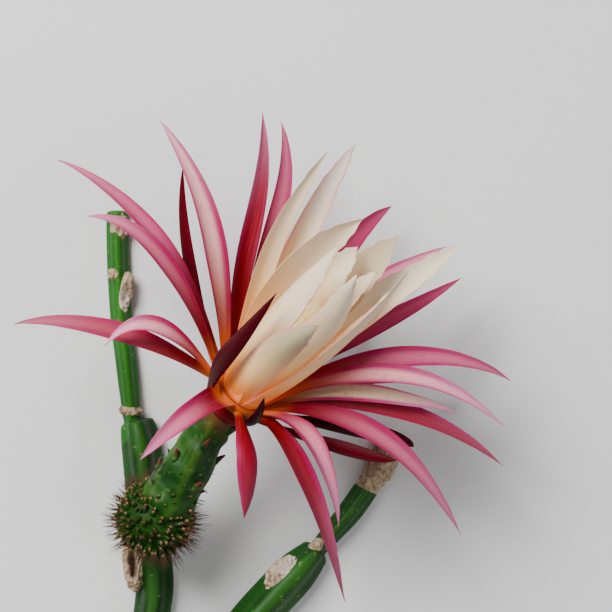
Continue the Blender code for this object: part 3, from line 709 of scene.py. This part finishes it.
def buildWhorl(name, material, node):
    whorl = whorls[name]
    piece = tepalTable(name, whorl)
    grow(piece, blades, {"Around": tepal["around"], "Along": tepal["along"], "Thickness": tepal["thickness"],
                         "Taper": whorl["taper"], "Ragged": whorl["ragged"], "Channel": tepal["channel"]},
         material)
    collar = ringOf(name + "Ring", whorl["ring"], tepal["ringSides"], material)
    for key in ("along", "reach", "inner", "pale", "deep", "fade", "phase"):
        shade = tepal["ringShade"] if key == "along" else 0.0
        keepColumn(collar, key, [shade] * len(collar.data.vertices))
    joinInto(piece, [collar])
    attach(piece, "root")
    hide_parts(node)
    return piece


blades = bladeTree()
threads = threadTree()
beads = beadTree()
sepals = buildWhorl("sepalWhorl", sepalMaterial(), "sepals")
outer = buildWhorl("outerTepalWhorl", outerMaterial(), "outer_tepals")
inner = buildWhorl("innerTepalWhorl", innerMaterial(), "inner_tepals")
print("tepals made")

# stamens and pistil

stamen = {
    "count": 110, "radius": 4.1, "foot": -1.5, "low": 36.0, "high": 56.0, "spread": (4.2, 6.6), "thick": 0.26,
    "taper": 0.3, "anther": (0.6, 0.42, 1.35), "antherLift": 0.5, "seed": 5,
    "sleeve": [(3.2, -13.0), (4.8, -13.0), (4.7, 1.0), (3.4, 1.0)], "sleeveSides": 40,
}


def threadTable(name, rows):
    columns = dict(zip(("root", "middle", "tip", "thick", "taper"), zip(*rows)))
    # a direction that no thread runs along
    askew = Vector((0.31, 0.22, 0.93))
    columns["sideways"] = [(row[2] - row[0]).cross(askew).normalized() for row in rows]
    return tableObject(name, columns)


def buildStamens():
    dice = random.Random(stamen["seed"])
    rows, aims, spots = [], [], []
    for number in range(stamen["count"]):
        azimuth = 360 * number / stamen["count"] + dice.uniform(-2, 2)
        reach = dice.uniform(*stamen["spread"])
        top = dice.uniform(stamen["low"], stamen["high"])
        foot = onFlower(azimuth, stamen["radius"], stamen["foot"])
        middle = onFlower(azimuth, 0.5 * (stamen["radius"] + reach), top * 0.5)
        tip = onFlower(azimuth, reach, top)
        rows.append((foot, middle, tip, stamen["thick"], stamen["taper"]))
        aims.append(axis + flowerSide(azimuth + dice.uniform(-80, 80)) * dice.uniform(0.1, 0.5))
        spots.append(tip + axis * stamen["antherLift"])
    # the filaments get a painted glow, so that they show bright in the shade of the cup
    skin = threadMaterial("filamentSkin", (0.86, 0.70, 0.32), (0.93, 0.86, 0.60), 0.5, 0.5)
    filaments = grow(threadTable("filaments", rows), threads, {"Around": 6, "Along": 7}, skin)
    dusty = {"aim": aims, "size": [stamen["anther"]] * stamen["count"], "spot": spots}
    anthers = grow(tableObject("anthers", dusty), beads, {"Around": 10, "Rings": 8}, antherMaterial())
    joinInto(filaments, [ringOf("sleeve", stamen["sleeve"], stamen["sleeveSides"], skin)])
    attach(filaments, "root")
    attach(anthers, "root")
    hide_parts("stamens")


# heights and radii are on the flower's axis
style = {
    "foot": -14.4, "bend": (0.25, 18.0), "top": 49.0, "thick": 1.3, "taper": 0.05,
    "lobes": 9, "lobeArc": ((0.5, 47.0), (2.3, 51.4), (4.2, 52.6)), "lobeThick": 0.62, "lobeTaper": 0.45,
}


def buildPistil():
    rows = [(onFlower(0, 0.0, style["foot"]), onFlower(40, *style["bend"]), onFlower(0, 0.0, style["top"]),
             style["thick"], style["taper"])]
    for lobe in range(style["lobes"]):
        arc = [onFlower(360 * lobe / style["lobes"], radius, height) for radius, height in style["lobeArc"]]
        rows.append((*arc, style["lobeThick"], style["lobeTaper"]))
    # the style and its lobes get a painted glow, so that they show bright in the shade of the cup
    pistil = grow(threadTable("styleAndLobes", rows), threads, {"Around": 12, "Along": 16},
                  threadMaterial("styleSkin", (0.82, 0.74, 0.46), (0.90, 0.85, 0.66), 0.45, 0.5))
    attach(pistil, "root")
    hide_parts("pistil")


buildStamens()
buildPistil()
print("stamens and pistil made")

# the floral tube's course

# degrees from one wart or scale to the next
goldenAngle = 137.508
ovaryAxis = (throat - flower["ovary"]).normalized()
tube = {
    "radii": [10.4, 11.0, 10.6, 9.7, 8.8, 8.3, 8.2], "neck": 8.2, "neckLength": 11.0, "rim": -2.0,
    "throatRadius": 5.2, "throatDepth": 13.0, "sides": 72, "steps": 72, "flare": 2.0, "flareEnd": 0.2,
    "sink": 5.0, "ridges": 5, "ridgeTwist": 2.2, "ridgeDepth": 0.5, "quietFrom": 0.75,
    "cushion": 1.1, "cushionNarrow": 9, "cushionLow": 0.03, "cushionLong": 0.075,
    "uneven": 0.55, "unevenFine": 0.22, "scales": 12, "scaleFrom": 0.12, "scaleSpan": 0.78,
    "scaleTurn": 40, "scaleLong": 5.0, "scaleGrowth": 0.4, "scaleThick": 1.5, "scaleRoot": 1.2,
}


def tubeStation(share):
    # centre, direction and radius at a share of the way from the ovary to the start of the neck
    start = flower["ovary"] + ovaryAxis * (flower["ovaryTop"] + 0.3)
    end = throat + axis * (tube["rim"] - tube["neckLength"])
    pull = (end - start).length / 3
    first, second = start + ovaryAxis * pull, end - axis * pull
    t, r = share, 1 - share
    point = start * r ** 3 + first * 3 * t * r * r + second * 3 * t * t * r + end * t ** 3
    course = (first - start) * r * r + (second - first) * 2 * t * r + (end - second) * t * t
    place = share * (len(tube["radii"]) - 1)
    low = min(int(place), len(tube["radii"]) - 2)
    radius = tube["radii"][low] + (tube["radii"][low + 1] - tube["radii"][low]) * (place - low)
    return point, course.normalized(), radius


# ovary with its warts and bristles

ovary = {
    "sides": 48, "rings": 33, "warts": 330, "lowest": -0.97, "riseSpan": 1.73, "jitter": 0.11,
    "clearance": 3.2, "wart": (1.35, 1.35, 2.9), "wartTip": (0.75, 0.75, 1.0), "tipRise": 2.55,
    "tubeWarts": 34, "bristlesEach": 5, "bristle": (4.4, 7.6), "bristleRoot": 2.4, "thick": 0.11,
    "stray": 0.6, "tubeOverlap": 1.6, "stalkRadius": 5.6, "seatTop": 17.6, "seed": 11,
}


def wartRows(dice):
    # place, lean, way out and size: an uneven spiral over the ball, clear of the seat, then up the tube
    side, other = squareFrame(ovaryAxis)
    golden = math.radians(goldenAngle)
    rows = []
    for number in range(ovary["warts"]):
        rise = ovary["lowest"] + ovary["riseSpan"] * (number + 0.5) / ovary["warts"]
        out = math.sqrt(1 - rise * rise)
        stray = Vector([dice.uniform(-1, 1) for part in range(3)]) * ovary["jitter"]
        direction = (ovaryAxis * rise + side * (out * math.cos(golden * number))
                     + other * (out * math.sin(golden * number)) + stray).normalized()
        spot = flower["ovary"] + direction * (flower["ovaryRadius"] - 0.4)
        if spot.z > ovary["seatTop"] + ovary["clearance"]:
            lean = (direction + ovaryAxis * 0.35 + stray).normalized()
            rows.append((spot, lean, direction, dice.uniform(0.75, 1.12)))
    for number in range(ovary["tubeWarts"]):
        share = (number + 0.5) / ovary["tubeWarts"]
        centre, course, radius = tubeStation(0.03 + 0.42 * share ** 1.5)
        side, other = squareFrame(course)
        angle = golden * number + dice.uniform(-0.3, 0.3)
        out = side * math.cos(angle) + other * math.sin(angle)
        lean = (out + course * 0.9).normalized()
        rows.append((centre + out * (radius - 0.5), lean, out, 0.95 - 0.5 * share))
    return rows


def uprightPost(name, radius, heights, material=None):
    # a round post straight under the ovary
    foot = flower["ovary"]
    rings = [circle(Vector((foot.x, foot.y, height)), Vector((1, 0, 0)), Vector((0, 1, 0)), radius, 32)
             for height in heights]
    return ringMesh(name, rings, material=material)


def ovaryBall(skin):
    side, other = squareFrame(ovaryAxis)
    radius = flower["ovaryRadius"]
    # the ball's top runs on into the tube, so that no seam shows
    bottom = -math.pi / 2 * 0.99
    top = math.asin((flower["ovaryTop"] + ovary["tubeOverlap"]) / radius)
    rings = []
    for angle in np.linspace(bottom, top, ovary["rings"]):
        centre = flower["ovary"] + ovaryAxis * (radius * math.sin(angle))
        rings.append(circle(centre, side, other, radius * math.cos(angle), ovary["sides"]))
    return ringMesh("ovaryBall", rings, material=skin)


def wartBeads(name, rows, size, rise, spread, dice, shape, skin):
    # a bead on each wart's row, with its own size
    return grow(tableObject(name, {
        "aim": [row[1] for row in rows], "spot": [row[0] + row[1] * (rise * row[3]) for row in rows],
        "size": [tuple(part * row[3] * dice.uniform(*spread) for part in size) for row in rows]}),
        beads, shape, skin)


def bristleRows(rows, dice):
    hairs = []
    for spot, lean, out, scale in rows:
        for hair in range(ovary["bristlesEach"]):
            stray = Vector([dice.uniform(-1, 1) for part in range(3)]) * ovary["stray"]
            aim = (lean + out + stray).normalized()
            # bristles that face the camera are drawn shorter
            length = dice.uniform(*ovary["bristle"]) * (0.5 if out.z > 0.7 else 1.0) * scale ** 2
            root = spot + lean * (ovary["bristleRoot"] * scale)
            bend = aim * 0.5 + stray * 0.1
            tip = root + aim * length
            if tip.z > 1.0:
                hairs.append((root, root + bend * length, tip, ovary["thick"], 0.8))
    return hairs


def buildOvary():
    dice = random.Random(ovary["seed"])
    skin = wartMaterial()
    ball = ovaryBall(skin)
    heights = (ovary["seatTop"] + 0.3, ovary["seatTop"] + 3, flower["ovary"].z - 6)
    joinInto(ball, [uprightPost("stalk", ovary["stalkRadius"], heights, skin)])
    rows = wartRows(dice)
    warts = wartBeads("ovaryWarts", rows, ovary["wart"], 0.0, (0.88, 1.1), dice,
                      {"Around": 12, "Rings": 9}, skin)
    tips = wartBeads("wartTips", rows, ovary["wartTip"], ovary["tipRise"], (0.7, 1.1), dice,
                     {"Around": 8, "Rings": 6}, skin)
    perTip = len(tips.data.vertices) // len(rows)
    keepColumn(tips, "tipped", [shade for row in rows for shade in [dice.uniform(0.55, 1.0)] * perTip])
    for thing in (ball, warts):
        keepColumn(thing, "tipped", [0.0] * len(thing.data.vertices))
    joinInto(warts, [ball, tips])
    warts.name = "wartyOvary"
    bristles = grow(threadTable("ovaryBristles", bristleRows(rows, dice)), threads, {"Around": 4, "Along": 3},
                    threadMaterial("bristleBrown", (0.13, 0.055, 0.026), (0.050, 0.020, 0.012), 0.6))
    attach(warts, "root")
    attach(bristles, "root")
    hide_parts("ovary")


buildOvary()
print("ovary made")

# floral tube with its scales


def scalePlaces():
    # how far up the tube each scale sits, and at which angle
    return [(tube["scaleFrom"] + tube["scaleSpan"] * number / (tube["scales"] - 1),
             math.radians(goldenAngle * number + tube["scaleTurn"])) for number in range(tube["scales"])]


def tubeRings():
    # the outside from the ovary to the rim, then the throat's hollow, with a note for each point
    rings, notes, places = [], [], scalePlaces()
    stations = [tubeStation(step / tube["steps"]) for step in range(tube["steps"] + 1)]
    foot, footCourse, footRadius = stations[0]
    # the lowest ring is sunk in the ovary, so that no seam shows
    stations[0] = (foot - ovaryAxis * tube["sink"], footCourse, footRadius)
    neckEnd = throat + axis * tube["rim"]
    for step in (0.34, 0.67, 1.0):
        stations.append((stations[tube["steps"]][0].lerp(neckEnd, step), axis, tube["neck"]))
    for number, (centre, course, radius) in enumerate(stations):
        side, other = squareFrame(course)
        share = min(1.0, number / tube["steps"])
        quiet = 1 - smoothStep(tube["quietFrom"], 1.0, share)
        flare = tube["flare"] * (1 - smoothStep(0.0, tube["flareEnd"], share))
        ring = []
        for corner, spot in enumerate(circle(centre, side, other, 8, tube["sides"])):
            angle = math.tau * corner / tube["sides"]
            wave = math.cos(tube["ridges"] * angle + tube["ridgeTwist"] * share)
            rim = radius - tube["ridgeDepth"] * quiet * (1 - wave) + flare
            # a low cushion under each scale, and an uneven skin
            for scaleShare, scaleAngle in places:
                turned = (math.cos(angle - scaleAngle) - 1) * tube["cushionNarrow"]
                above = (share - scaleShare + tube["cushionLow"]) / tube["cushionLong"]
                rim += tube["cushion"] * quiet * math.exp(turned - above ** 2)
            rim += tube["uneven"] * quiet * noise.noise(spot * tube["unevenFine"])
            ring.append(centre + side * (rim * math.cos(angle)) + other * (rim * math.sin(angle)))
            notes.append((share, wave, corner / tube["sides"]))
        rings.append(ring)
    side, other = squareFrame(axis)
    for centre in (neckEnd, neckEnd - axis * tube["throatDepth"]):
        rings.append(circle(centre, side, other, tube["throatRadius"], tube["sides"]))
        notes.extend([(1.0, 0.0, corner / tube["sides"]) for corner in range(tube["sides"])])
    return rings, notes


def scaleRows():
    rows = []
    for number, (share, angle) in enumerate(scalePlaces()):
        centre, course, radius = tubeStation(share)
        side, other = squareFrame(course)
        out = side * math.cos(angle) + other * math.sin(angle)
        root = centre + out * (radius - tube["scaleRoot"])
        length = tube["scaleLong"] + tube["scaleGrowth"] * number
        middle = root + course * length * 0.5 + out * length * 0.18
        rows.append((root, middle, root + (course + out * 0.45) * length, tube["scaleThick"], 0.8))
    return rows


def buildTube():
    skin = tubeMaterial()
    rings, notes = tubeRings()
    piece = ringMesh("floralTube", rings, material=skin)
    for place, key in enumerate(("along", "ridge", "turn")):
        keepColumn(piece, key, [note[place] for note in notes])
    keepColumn(piece, "tipped", [0.0] * len(notes))
    sizes = {"Around": 12, "Along": 10, "Belly": 0.25}
    scales = grow(threadTable("tubeScales", scaleRows()), threads, sizes, skin)
    along = np.zeros(len(scales.data.vertices), dtype=np.float32)
    scales.data.attributes["along"].data.foreach_get("value", along)
    keepColumn(scales, "tipped", np.clip(along * 2.2 - 0.9, 0, 1))
    joinInto(piece, [scales])
    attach(piece, "root")
    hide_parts("floral_tube")


buildTube()
print("tube made")

# stem

stem = {
    "voxel": 0.55, "smooth": 4, "steps": 14, "sides": 48, "ribs": 3, "ribDepth": 0.20, "areolePitch": 24.0,
    "areoleSwell": 0.05, "tipLength": 0.25, "seatRadius": 6.5, "seatFoot": 6.0,
    "scarDip": 1.7, "crumbDepth": 1.1, "dryCrumbDepth": 0.3, "crumbFine": 0.75,
    "dryFrom": (92.4, 44), "dryCourse": (0.45, 0.89), "dryFade": 1.5, "dryRight": 85, "dryRidge": 0.25,
    "cutFrom": -91.2, "cutEnd": -92.1, "cutCork": 0.8,
}
# how fresh a green each joint has
youth = {"main": 0.0, "left": 1.0, "side": 0.12, "right": 0.55}
# places and radii along each joint
joints = {
    "main": [((-1, -92, 5.9), 7.6), ((-1, -72, 6.4), 8.3), ((-2, -45, 6.6), 7.6), ((-2, -18, 6.2), 7.4),
             ((0, 2, 5.9), 7.6), ((-2, 24, 6.2), 7.9), ((-4, 48, 6.6), 8.2), ((-6, 66, 6.6), 8.0),
             ((-8, 75, 6.4), 6.4)],
    "left": [((-8.6, 70, 5.6), 3.0), ((-9.9, 77, 5.6), 3.7), ((-12, 97, 5.0), 4.3), ((-14.6, 119, 4.2), 4.4),
             ((-15.9, 141, 3.8), 4.5), ((-16.3, 158, 3.6), 4.6), ((-16.2, 167, 3.6), 4.4)],
    "side": [((1, -67, 6.0), 3.4), ((7.5, -61, 6.2), 4.4), ((17, -48, 6.6), 7.6), ((31, -27, 6.8), 8.4),
             ((47, -8, 6.8), 8.8), ((62, 8, 6.8), 8.4), ((72, 18.5, 6.4), 5.6)],
    "right": [((70, 16.5, 5.8), 3.2), ((75.5, 22.8, 5.8), 4.0), ((86, 35, 5.2), 4.9),
              ((95.4, 48.5, 4.6), 5.1), ((99, 54, 4.6), 5.9), ((105, 67, 4.5), 5.7)],
}
# centre, full size, heading, how hollow the middle is and how corky the skin
scars = [
    ((-9.3, 12.8, 9.2), (8.4, 26, 11), 4, 1.0, 1.0), ((-4.5, 72, 8.6), (6, 5, 6), -10, 0.0, 0.0),
    ((-12.6, 131, 6.5), (6, 19, 6), -12, 0.5, 1.0), ((-17.6, 139, 6.4), (6, 5, 6), 20, 0.0, 1.0),
    ((-15.0, 160, 6.5), (8, 11, 5), 0, 0.2, 1.0), ((-10.3, 79.0, 6.2), (11, 4, 9), -4, 0.0, 1.0),
    ((55, 9.5, 13.0), (18, 8, 7), 47, 0.1, 1.0), ((71, 20.5, 10.0), (7, 5, 5), 47, 0.0, 1.0),
]


def splinePoint(points, where):
    last = len(points) - 1
    span = min(int(where), last - 1)
    share = where - span
    around = (max(span - 1, 0), span, span + 1, min(span + 2, last))
    before, start, end, after = (points[place] for place in around)
    square = (2 * before - 5 * start + 4 * end - after) * share ** 2
    cube = (3 * start - before - 3 * end + after) * share ** 3
    return 0.5 * (2 * start + (end - before) * share + square + cube)


def ribbedJoint(name, joint, roundEnd):
    centres = [Vector(place) for place, radius in joint]
    radii = [Vector((radius, 0, 0)) for place, radius in joint]
    end = len(joint) - 1.0
    stations = [(step / stem["steps"], 1.0) for step in range(int(end) * stem["steps"] + 1)]
    if roundEnd:
        tip = stem["tipLength"]
        stations = [pair for pair in stations if pair[0] < end - tip - 0.01]
        stations += [(end - tip * (1 - math.sin(turn)), max(0.12, math.cos(turn) ** 0.7))
                     for turn in np.linspace(0, 1.5, 9)]
    rings, notes, travelled, previous = [], [], 0.0, None
    for where, shrink in stations:
        centre, radius = splinePoint(centres, where), splinePoint(radii, where).x * shrink
        ahead = splinePoint(centres, min(where + 0.05, end))
        forward = (ahead - splinePoint(centres, max(where - 0.05, 0))).normalized()
        side = forward.cross(Vector((0, 0, 1))).normalized()
        up = side.cross(forward)
        travelled += (centre - previous).length if previous else 0.0
        previous = centre
        swell = 1 + stem["areoleSwell"] * math.cos(math.tau * travelled / stem["areolePitch"])
        ring = []
        for corner in range(stem["sides"]):
            angle = math.tau * corner / stem["sides"]
            rib = 1 + stem["ribDepth"] * math.cos(stem["ribs"] * angle) * swell
            point = centre + (up * math.cos(angle) + side * math.sin(angle)) * (radius * rib)
            ring.append(Vector((point.x, point.y, max(point.z, 0.0))))
        rings.append(ring)
        notes.append((centre, side, up))
    return ringMesh(name, rings), notes


def padMesh(name, centre, size, heading):
    shape = bmesh.new()
    bmesh.ops.create_uvsphere(shape, u_segments=24, v_segments=14, radius=1)
    turn = Matrix.Rotation(math.radians(heading), 4, "Z")
    stretch = Matrix.Diagonal((*[part / 2 for part in size], 1))
    bmesh.ops.transform(shape, matrix=turn @ stretch, verts=shape.verts)
    bmesh.ops.translate(shape, vec=Vector(centre), verts=shape.verts)
    bmesh.ops.scale(shape, vec=(mm, mm, mm), verts=shape.verts)
    mesh = bpy.data.meshes.new(name)
    shape.to_mesh(mesh)
    shape.free()
    thing = bpy.data.objects.new(name, mesh)
    bpy.context.scene.collection.objects.link(thing)
    return thing


def joinedSkin(body):
    # one closed skin over all the joined forms
    mesher = body.modifiers.new("mesher", "REMESH")
    mesher.mode = "VOXEL"
    mesher.voxel_size = stem["voxel"] * mm
    soften = body.modifiers.new("soften", "SMOOTH")
    soften.factor = 0.5
    soften.iterations = stem["smooth"]
    graph = bpy.context.evaluated_depsgraph_get()
    mesh = bpy.data.meshes.new_from_object(body.evaluated_get(graph), depsgraph=graph)
    body.modifiers.clear()
    body.data = mesh
    return mesh


def readTriples(mesh, key):
    triples = np.zeros(len(mesh.vertices) * 3)
    mesh.vertices.foreach_get(key, triples)
    return triples.reshape(-1, 3)


def scarMarks(spots):
    # how corky, how hollow and how far pushed in each point is
    cork, hollow, push = np.zeros((3, len(spots)))
    for centre, size, heading, depth, corky in scars:
        turn = math.radians(heading)
        offset = spots - np.array(centre)
        u = (offset[:, 0] * math.cos(turn) + offset[:, 1] * math.sin(turn)) / (size[0] / 2)
        v = (-offset[:, 0] * math.sin(turn) + offset[:, 1] * math.cos(turn)) / (size[1] / 2)
        w = offset[:, 2] / (size[2] / 2)
        reach = np.sqrt(u * u + v * v + (w * 0.9) ** 2)
        mark = np.clip((1.22 - reach) / 0.2, 0, 1) * corky
        cork = np.maximum(cork, mark)
        dip = np.clip((0.62 - np.sqrt(u * u + v * v)) / 0.2, 0, 1) * (offset[:, 2] > 0) * depth * mark
        hollow = np.maximum(hollow, dip)
        push -= dip * stem["scarDip"]
    return cork, hollow, push


def buildStem():
    pieces, tracks, fresh = [], [], []
    for key, joint in joints.items():
        piece, notes = ribbedJoint("joint" + key, joint, key != "right")
        pieces.append(piece)
        tracks += notes
        fresh += [youth[key]] * len(notes)
    pieces.append(uprightPost("seat", stem["seatRadius"], (stem["seatFoot"], ovary["seatTop"])))
    pieces += [padMesh("scar", *scar[:3]) for scar in scars]
    body = joinInto(pieces[0], pieces[1:])
    body.name = "forkedStem"
    mesh = joinedSkin(body)
    spots = readTriples(mesh, "co") / mm
    normals = readTriples(mesh, "normal")
    centres, sides, ups = (np.array([tuple(note[place]) for note in tracks]) for place in range(3))
    nearest = np.concatenate([np.argmin(((block[:, None, :] - centres[None]) ** 2).sum(2), 1)
                              for block in np.array_split(spots, 60)])
    away = spots - centres[nearest]
    angle = np.arctan2((away * sides[nearest]).sum(1), (away * ups[nearest]).sum(1))
    cork, hollow, push = scarMarks(spots)
    beyond = ((spots[:, :2] - stem["dryFrom"]) * stem["dryCourse"]).sum(1) / stem["dryFade"]
    dry = np.clip(beyond, 0, 1) * (spots[:, 0] > stem["dryRight"])
    push += dry * stem["dryRidge"] * np.sin(spots[:, 1] * 1.9 + spots[:, 0] * 0.7)
    cut = np.clip((stem["cutFrom"] - spots[:, 1]) / 0.5, 0, 1)
    cork = np.maximum(np.maximum(cork, dry), cut * stem["cutCork"])
    crumbs = np.array([noise.noise(Vector(spot) * stem["crumbFine"]) if cork[number] > 0.2 else 0.0
                       for number, spot in enumerate(spots)])
    push += crumbs * cork * (stem["crumbDepth"] + (stem["dryCrumbDepth"] - stem["crumbDepth"]) * dry)
    spots += normals * push[:, None]
    spots[:, 1] = np.maximum(spots[:, 1], stem["cutEnd"])
    spots[:, 2] = np.maximum(spots[:, 2], 0.0)
    mesh.vertices.foreach_set("co", (spots * mm).ravel())
    keepColumn(body, "crest", np.cos(stem["ribs"] * angle))
    keepColumn(body, "young", np.array(fresh)[nearest])
    keepColumn(body, "cork", cork)
    keepColumn(body, "hollow", hollow)
    mesh.polygons.foreach_set("use_smooth", [True] * len(mesh.polygons))
    mesh.materials.clear()
    mesh.materials.append(stemMaterial())
    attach(body, "root")
    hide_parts("stem")


buildStem()
print("stem made")

# floor, light and camera

studio = {
    "camera": (66.5, 125.0, 1300.0), "lens": 173.7, "sensor": 36.0, "air": 0.24, "aim": (0.06, 0.1, 0.04),
    "floorSize": 4.0, "floorAt": (0.06, 0.1, -0.0002),
}
# place and size in metres, and power
lamps = {"keyLight": ((-0.55, 0.75, 1.1), 0.7, 36.0), "fillLight": ((0.9, -0.3, 0.9), 1.0, 5.0)}


def buildStudio():
    scene = bpy.context.scene
    paper = Surface("palePaper", 0.9)
    grain = paper.noise(paper.place(), 300.0, 2.0)
    paper.colour(blend(grain, (0.74, 0.74, 0.73), (0.80, 0.80, 0.79)))
    bpy.ops.mesh.primitive_plane_add(size=studio["floorSize"], location=studio["floorAt"])
    floor = bpy.context.object
    floor.name = "floorSheet"
    floor.data.materials.append(paper.material)
    world = bpy.data.worlds.new("studioAir")
    world.use_nodes = True
    air = world.node_tree.nodes["Background"]
    air.inputs["Color"].default_value = (0.93, 0.95, 1.0, 1)
    air.inputs["Strength"].default_value = studio["air"]
    scene.world = world
    for name, (place, size, power) in lamps.items():
        lamp = bpy.data.lights.new(name, "AREA")
        lamp.size = size
        lamp.energy = power
        light = bpy.data.objects.new(name, lamp)
        light.location = place
        light.rotation_euler = (Vector(studio["aim"]) - Vector(place)).to_track_quat("-Z", "Y").to_euler()
        scene.collection.objects.link(light)
    lensBody = bpy.data.cameras.new("portraitCamera")
    lensBody.sensor_width = studio["sensor"]
    lensBody.sensor_fit = "HORIZONTAL"
    lensBody.lens = studio["lens"]
    lensBody.clip_end = 10.0
    camera = bpy.data.objects.new("portraitCamera", lensBody)
    camera.location = Vector(studio["camera"]) * mm
    scene.collection.objects.link(camera)
    scene.camera = camera


buildStudio()
print("studio made")
